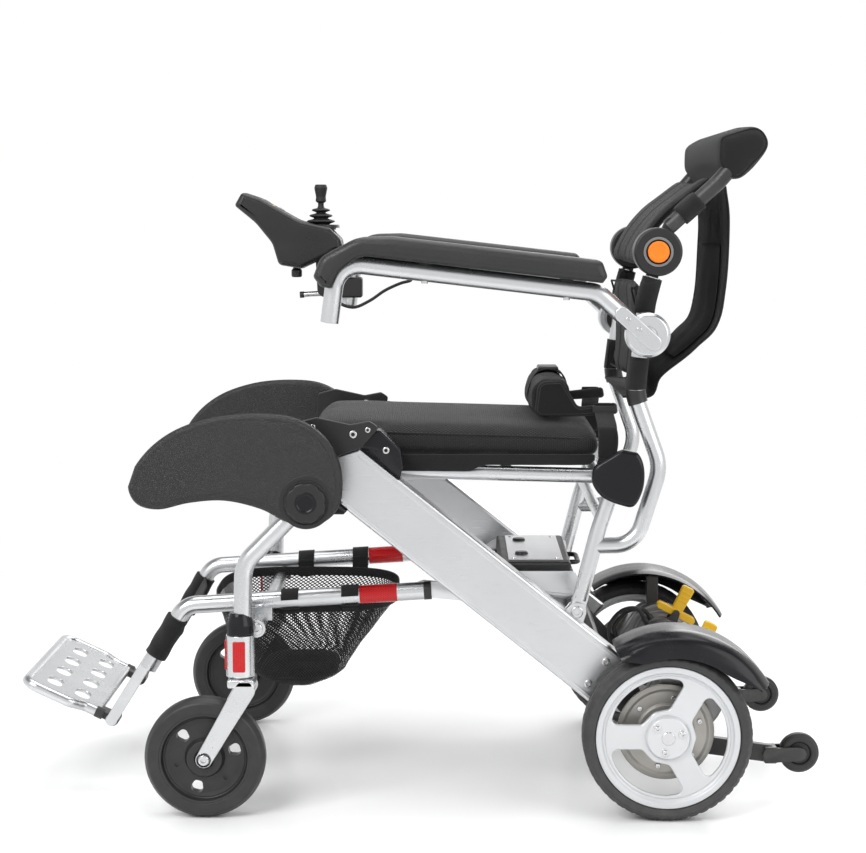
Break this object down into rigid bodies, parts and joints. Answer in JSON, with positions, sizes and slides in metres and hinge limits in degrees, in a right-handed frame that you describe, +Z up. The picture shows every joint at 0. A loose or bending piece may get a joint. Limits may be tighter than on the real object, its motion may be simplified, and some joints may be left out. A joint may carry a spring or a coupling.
{
  "type": "folding power wheelchair",
  "caption": "Folding power wheelchair on hub drive wheels and front casters, with a slung seat, padded arms, joystick control, net basket and footplate.",
  "frame": {"origin": "centre of the footprint's bounding box, on the floor", "axes": "+X toward the chair's back, +Y toward the sitter's right side, +Z up"},
  "size_m": [1.1281, 0.6004, 0.9406],
  "materials": {
    "aluminium": "brushed",
    "silver": "bright anodised",
    "white": "silver white paint",
    "tyre": "grey rubber",
    "caster": "black",
    "plastic": "fine grain",
    "gloss": "gloss",
    "steel_black": "black coating",
    "motor": "cast",
    "yellow": "satin",
    "orange": "satin",
    "fabric": "webbing and net",
    "cloth": "spacer cloth",
    "vinyl": "padded vinyl",
    "battery": "satin",
    "controls": "satin"
  },
  "bodies": {
    "main_frame": {"rear_frame": "steel_black", "side_beam_left": "aluminium", "beam_end_left": "aluminium", "motor_left": "motor", "fender_left": "gloss", "side_beam_right": "aluminium", "beam_end_right": "aluminium", "motor_right": "motor", "fender_right": "gloss"},
    "front_legs": {"front_leg_left": "silver", "leg_arm_left": "plastic", "front_leg_right": "silver", "leg_arm_right": "plastic"},
    "lower_frame": {"lower_rails": "silver", "basket": "fabric", "calf_strap": "fabric", "footrest_hanger": "silver"},
    "footplate": {"footplate": "silver"},
    "battery_tray": {"battery_tray": "aluminium"},
    "battery": {"battery": "battery"},
    "back_frame": {"back_posts": "silver", "back_sling_lower": "cloth", "rear_pouch": "fabric", "rear_cap_left": "plastic", "rear_cap_right": "plastic"},
    "seat": {"seat_frame": "silver", "seat_cushion": "cloth", "lap_belt": "fabric"},
    "upper_back": {"upper_back": "plastic", "back_sling_upper": "cloth", "head_pad": "vinyl"},
    "armrest_left": {"armrest_left": "silver", "arm_pad_left": "vinyl"},
    "armrest_right": {"armrest_right": "silver", "arm_pad_right": "vinyl", "controller": "plastic", "controller_cable": "controls"},
    "joystick_gimbal": {"joystick_gimbal": "plastic"},
    "joystick": {"joystick": "controls"},
    "power_key": {"power_key": "controls"},
    "speed_key": {"speed_key": "controls"},
    "rear_wheel_left": {"rear_rim_left": "white", "rear_tyre_left": "tyre"},
    "anti_tip_wheel_left": {"anti_tip_wheel_left": "caster"},
    "brake_lever_left": {"brake_lever_left": "yellow"},
    "caster_fork_left": {"caster_fork_left": "silver"},
    "caster_wheel_left": {"caster_wheel_left": "caster"},
    "side_guard_left": {"guard_left": "plastic"},
    "guard_knob_left": {"guard_knob_left": "plastic"},
    "release_button_left": {"release_button_left": "orange"},
    "rear_wheel_right": {"rear_rim_right": "white", "rear_tyre_right": "tyre"},
    "anti_tip_wheel_right": {"anti_tip_wheel_right": "caster"},
    "brake_lever_right": {"brake_lever_right": "yellow"},
    "caster_fork_right": {"caster_fork_right": "silver"},
    "caster_wheel_right": {"caster_wheel_right": "caster"},
    "side_guard_right": {"guard_right": "plastic"},
    "guard_knob_right": {"guard_knob_right": "plastic"},
    "release_button_right": {"release_button_right": "orange"}
  },
  "joints": [
    {"name": "frame_fold", "type": "hinge", "parent": "main_frame", "child": "front_legs", "pos_m": [-0.1474, 0, 0.4372], "axis": [0, 1, 0], "range_deg": [-45, 0]},
    {"name": "lower_frame_fold", "type": "hinge", "parent": "front_legs", "child": "lower_frame", "pos_m": [-0.2191, 0, 0.2573], "axis": [0, 1, 0], "range_deg": [0, 5]},
    {"name": "tray_fold", "type": "hinge", "parent": "main_frame", "child": "battery_tray", "pos_m": [0.221, 0, 0.2739], "axis": [0, 1, 0], "range_deg": [0, 43]},
    {"name": "back_frame_fold", "type": "hinge", "parent": "main_frame", "child": "back_frame", "pos_m": [0.221, 0, 0.2739], "axis": [0, 1, 0], "range_deg": [-25, 0]},
    {"name": "seat_fold", "type": "hinge", "parent": "back_frame", "child": "seat", "pos_m": [0.2736, 0, 0.4579], "axis": [0, 1, 0], "range_deg": [0, 27]},
    {"name": "back_fold", "type": "hinge", "parent": "back_frame", "child": "upper_back", "pos_m": [0.3275, 0, 0.77], "axis": [0, -1, 0], "range_deg": [0, 100]},
    {"name": "footplate_hinge", "type": "hinge", "parent": "lower_frame", "child": "footplate", "pos_m": [-0.437, 0, 0.104], "axis": [0, 1, 0], "range_deg": [0, 46]},
    {"name": "battery_slide", "type": "slide", "parent": "battery_tray", "child": "battery", "axis": [1, 0, 0], "range_m": [0, 0.1]},
    {"name": "rear_wheel_spin_left", "type": "hinge", "parent": "main_frame", "child": "rear_wheel_left", "pos_m": [0.341, -0.2675, 0.1155], "axis": [0, 1, 0], "continuous": true},
    {"name": "anti_tip_spin_left", "type": "hinge", "parent": "main_frame", "child": "anti_tip_wheel_left", "pos_m": [0.536, -0.178, 0.068], "axis": [0, 1, 0], "continuous": true},
    {"name": "brake_lever_left", "type": "hinge", "parent": "main_frame", "child": "brake_lever_left", "pos_m": [0.396, -0.14, 0.205], "axis": [0, 1, 0], "range_deg": [0, 25]},
    {"name": "caster_swivel_left", "type": "hinge", "parent": "front_legs", "child": "caster_fork_left", "pos_m": [-0.24, -0.262, 0.1945], "axis": [0, 0, 1], "continuous": true},
    {"name": "caster_spin_left", "type": "hinge", "parent": "caster_fork_left", "child": "caster_wheel_left", "pos_m": [-0.289, -0.262, 0.083], "axis": [0, 1, 0], "continuous": true},
    {"name": "side_guard_left", "type": "hinge", "parent": "front_legs", "child": "side_guard_left", "pos_m": [-0.1474, -0.2765, 0.4372], "axis": [0, 1, 0], "range_deg": [0, 40]},
    {"name": "guard_knob_left", "type": "hinge", "parent": "side_guard_left", "child": "guard_knob_left", "pos_m": [-0.1474, -0.2765, 0.4372], "axis": [0, 1, 0], "range_deg": [0, 180]},
    {"name": "armrest_left", "type": "hinge", "parent": "back_frame", "child": "armrest_left", "pos_m": [0.31, -0.255, 0.66], "axis": [0, 1, 0], "range_deg": [0, 100]},
    {"name": "release_button_left", "type": "slide", "parent": "upper_back", "child": "release_button_left", "axis": [0, 1, 0], "range_m": [0, 0.004], "stiffness_N_per_m": 400},
    {"name": "rear_wheel_spin_right", "type": "hinge", "parent": "main_frame", "child": "rear_wheel_right", "pos_m": [0.341, 0.2675, 0.1155], "axis": [0, 1, 0], "continuous": true},
    {"name": "anti_tip_spin_right", "type": "hinge", "parent": "main_frame", "child": "anti_tip_wheel_right", "pos_m": [0.536, 0.178, 0.068], "axis": [0, 1, 0], "continuous": true},
    {"name": "brake_lever_right", "type": "hinge", "parent": "main_frame", "child": "brake_lever_right", "pos_m": [0.396, 0.14, 0.205], "axis": [0, 1, 0], "range_deg": [0, 25]},
    {"name": "caster_swivel_right", "type": "hinge", "parent": "front_legs", "child": "caster_fork_right", "pos_m": [-0.24, 0.262, 0.1945], "axis": [0, 0, -1], "continuous": true},
    {"name": "caster_spin_right", "type": "hinge", "parent": "caster_fork_right", "child": "caster_wheel_right", "pos_m": [-0.289, 0.262, 0.083], "axis": [0, 1, 0], "continuous": true},
    {"name": "side_guard_right", "type": "hinge", "parent": "front_legs", "child": "side_guard_right", "pos_m": [-0.1474, 0.2765, 0.4372], "axis": [0, 1, 0], "range_deg": [0, 40]},
    {"name": "guard_knob_right", "type": "hinge", "parent": "side_guard_right", "child": "guard_knob_right", "pos_m": [-0.1474, 0.2765, 0.4372], "axis": [0, 1, 0], "range_deg": [0, 180]},
    {"name": "armrest_right", "type": "hinge", "parent": "back_frame", "child": "armrest_right", "pos_m": [0.31, 0.255, 0.66], "axis": [0, 1, 0], "range_deg": [0, 100]},
    {"name": "release_button_right", "type": "slide", "parent": "upper_back", "child": "release_button_right", "axis": [0, -1, 0], "range_m": [0, 0.004], "stiffness_N_per_m": 400},
    {"name": "joystick_fore_aft", "type": "hinge", "parent": "armrest_right", "child": "joystick_gimbal", "pos_m": [-0.16, 0.255, 0.804], "axis": [0, 1, 0], "range_deg": [-18, 18], "stiffness_Nm_per_rad": 0.12},
    {"name": "joystick_sideways", "type": "hinge", "parent": "joystick_gimbal", "child": "joystick", "pos_m": [-0.16, 0.255, 0.804], "axis": [1, 0, 0], "range_deg": [-18, 18], "stiffness_Nm_per_rad": 0.12},
    {"name": "power_key", "type": "slide", "parent": "armrest_right", "child": "power_key", "axis": [-0.4916, 0, -0.8708], "range_m": [0, 0.001], "stiffness_N_per_m": 600},
    {"name": "speed_key", "type": "slide", "parent": "armrest_right", "child": "speed_key", "axis": [-0.4916, 0, -0.8708], "range_m": [0, 0.001], "stiffness_N_per_m": 600}
  ],
  "couplings": [
    {"joint": "lower_frame_fold", "follows": "frame_fold", "ratio": -0.107},
    {"joint": "tray_fold", "follows": "frame_fold", "ratio": -0.944},
    {"joint": "back_frame_fold", "follows": "frame_fold", "ratio": 0.544},
    {"joint": "seat_fold", "follows": "frame_fold", "ratio": -0.589}
  ]
}
